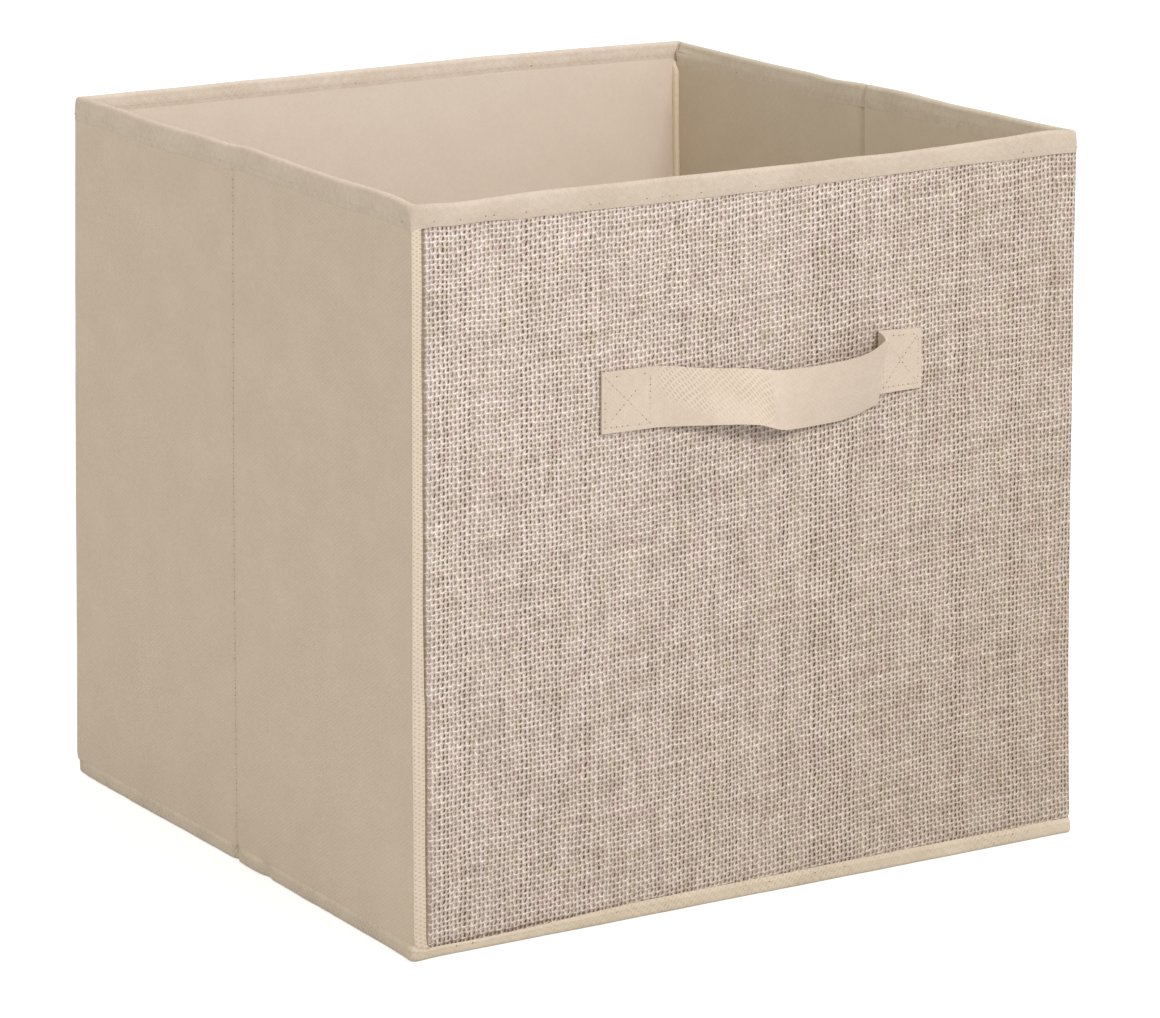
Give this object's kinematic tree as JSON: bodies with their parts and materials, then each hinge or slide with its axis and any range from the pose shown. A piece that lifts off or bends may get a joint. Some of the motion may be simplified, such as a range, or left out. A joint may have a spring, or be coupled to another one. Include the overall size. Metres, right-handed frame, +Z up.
{
  "type": "fabric storage bin",
  "caption": "Open-topped collapsible fabric storage cube with a woven front, bound rim and hem, a slack front pull strap and a loose base board; its side walls fold inwards.",
  "frame": {"origin": "middle of the whole box, strap included, on the floor under the bottom fabric", "axes": "+X to the right as seen from the front, -Y out of the front wall that carries the strap, +Z up out of the open top"},
  "size_m": [0.279, 0.2756, 0.267],
  "materials": {
    "nonwoven": "embossed spunbond nonwoven, beige, matt",
    "woven_cover": "coarse burlap-look plain weave, cream and grey-brown threads",
    "strap": "doubled embossed nonwoven, pale beige, sewn box and cross at both ends",
    "board": "plain grey-brown fibreboard"
  },
  "bodies": {
    "front_wall": {"front_board": "board", "front_cover": "woven_cover", "front_lining": "nonwoven", "front_rim": "nonwoven", "front_hem": "nonwoven", "front_left_corner_strip": "nonwoven", "handle_strap": "strap", "bottom_fabric": "nonwoven", "corner_seam_front_left": "nonwoven", "corner_seam_front_right": "nonwoven"},
    "left_front_half": {"left_front_board": "board", "left_front_skin": "nonwoven", "left_front_lining": "nonwoven", "left_front_rim": "nonwoven", "left_front_hem": "nonwoven"},
    "left_rear_half": {"left_rear_board": "board", "left_rear_skin": "nonwoven", "left_rear_lining": "nonwoven", "left_rear_rim": "nonwoven", "left_rear_hem": "nonwoven"},
    "back_wall": {"back_board": "board", "back_skin": "nonwoven", "back_lining": "nonwoven", "back_rim": "nonwoven", "back_hem": "nonwoven", "corner_seam_back_left": "nonwoven", "corner_seam_back_right": "nonwoven"},
    "right_front_half": {"right_front_board": "board", "right_front_skin": "nonwoven", "right_front_lining": "nonwoven", "right_front_rim": "nonwoven", "right_front_hem": "nonwoven"},
    "right_rear_half": {"right_rear_board": "board", "right_rear_skin": "nonwoven", "right_rear_lining": "nonwoven", "right_rear_rim": "nonwoven", "right_rear_hem": "nonwoven"},
    "base_insert": {"insert_board": "board", "insert_cover": "nonwoven"}
  },
  "joints": [
    {"name": "left_front_corner", "type": "hinge", "parent": "front_wall", "child": "left_front_half", "pos_m": [-0.1339, -0.1231, 0], "axis": [0, 0, -1], "range_deg": [0, 88], "deforming": ["left_front_hem", "bottom_fabric", "corner_seam_front_left"]},
    {"name": "left_centre_fold", "type": "hinge", "parent": "left_front_half", "child": "left_rear_half", "pos_m": [-0.1397, 0.0044, 0], "axis": [0, 0, 1], "range_deg": [0, 176], "deforming": ["left_rear_hem"]},
    {"name": "left_rear_corner", "type": "hinge", "parent": "left_rear_half", "child": "back_wall", "pos_m": [-0.1339, 0.1319, 0], "axis": [0, 0, -1], "range_deg": [0, 88], "deforming": ["back_hem", "corner_seam_back_left"]},
    {"name": "right_front_corner", "type": "hinge", "parent": "front_wall", "child": "right_front_half", "pos_m": [0.1339, -0.1231, 0], "axis": [0, 0, 1], "range_deg": [0, 88], "deforming": ["right_front_hem", "corner_seam_front_right"]},
    {"name": "right_centre_fold", "type": "hinge", "parent": "right_front_half", "child": "right_rear_half", "pos_m": [0.1397, 0.0044, 0], "axis": [0, 0, -1], "range_deg": [0, 176], "deforming": ["right_rear_hem", "corner_seam_back_right"]},
    {"name": "base_insert_lift", "type": "slide", "parent": "front_wall", "child": "base_insert", "axis": [0, 0, 1], "range_m": [0, 0.3]}
  ],
  "couplings": [
    {"joint": "left_centre_fold", "follows": "left_front_corner", "ratio": 2},
    {"joint": "left_rear_corner", "follows": "left_front_corner", "ratio": 1},
    {"joint": "right_front_corner", "follows": "left_front_corner", "ratio": 1},
    {"joint": "right_centre_fold", "follows": "left_front_corner", "ratio": 2}
  ]
}
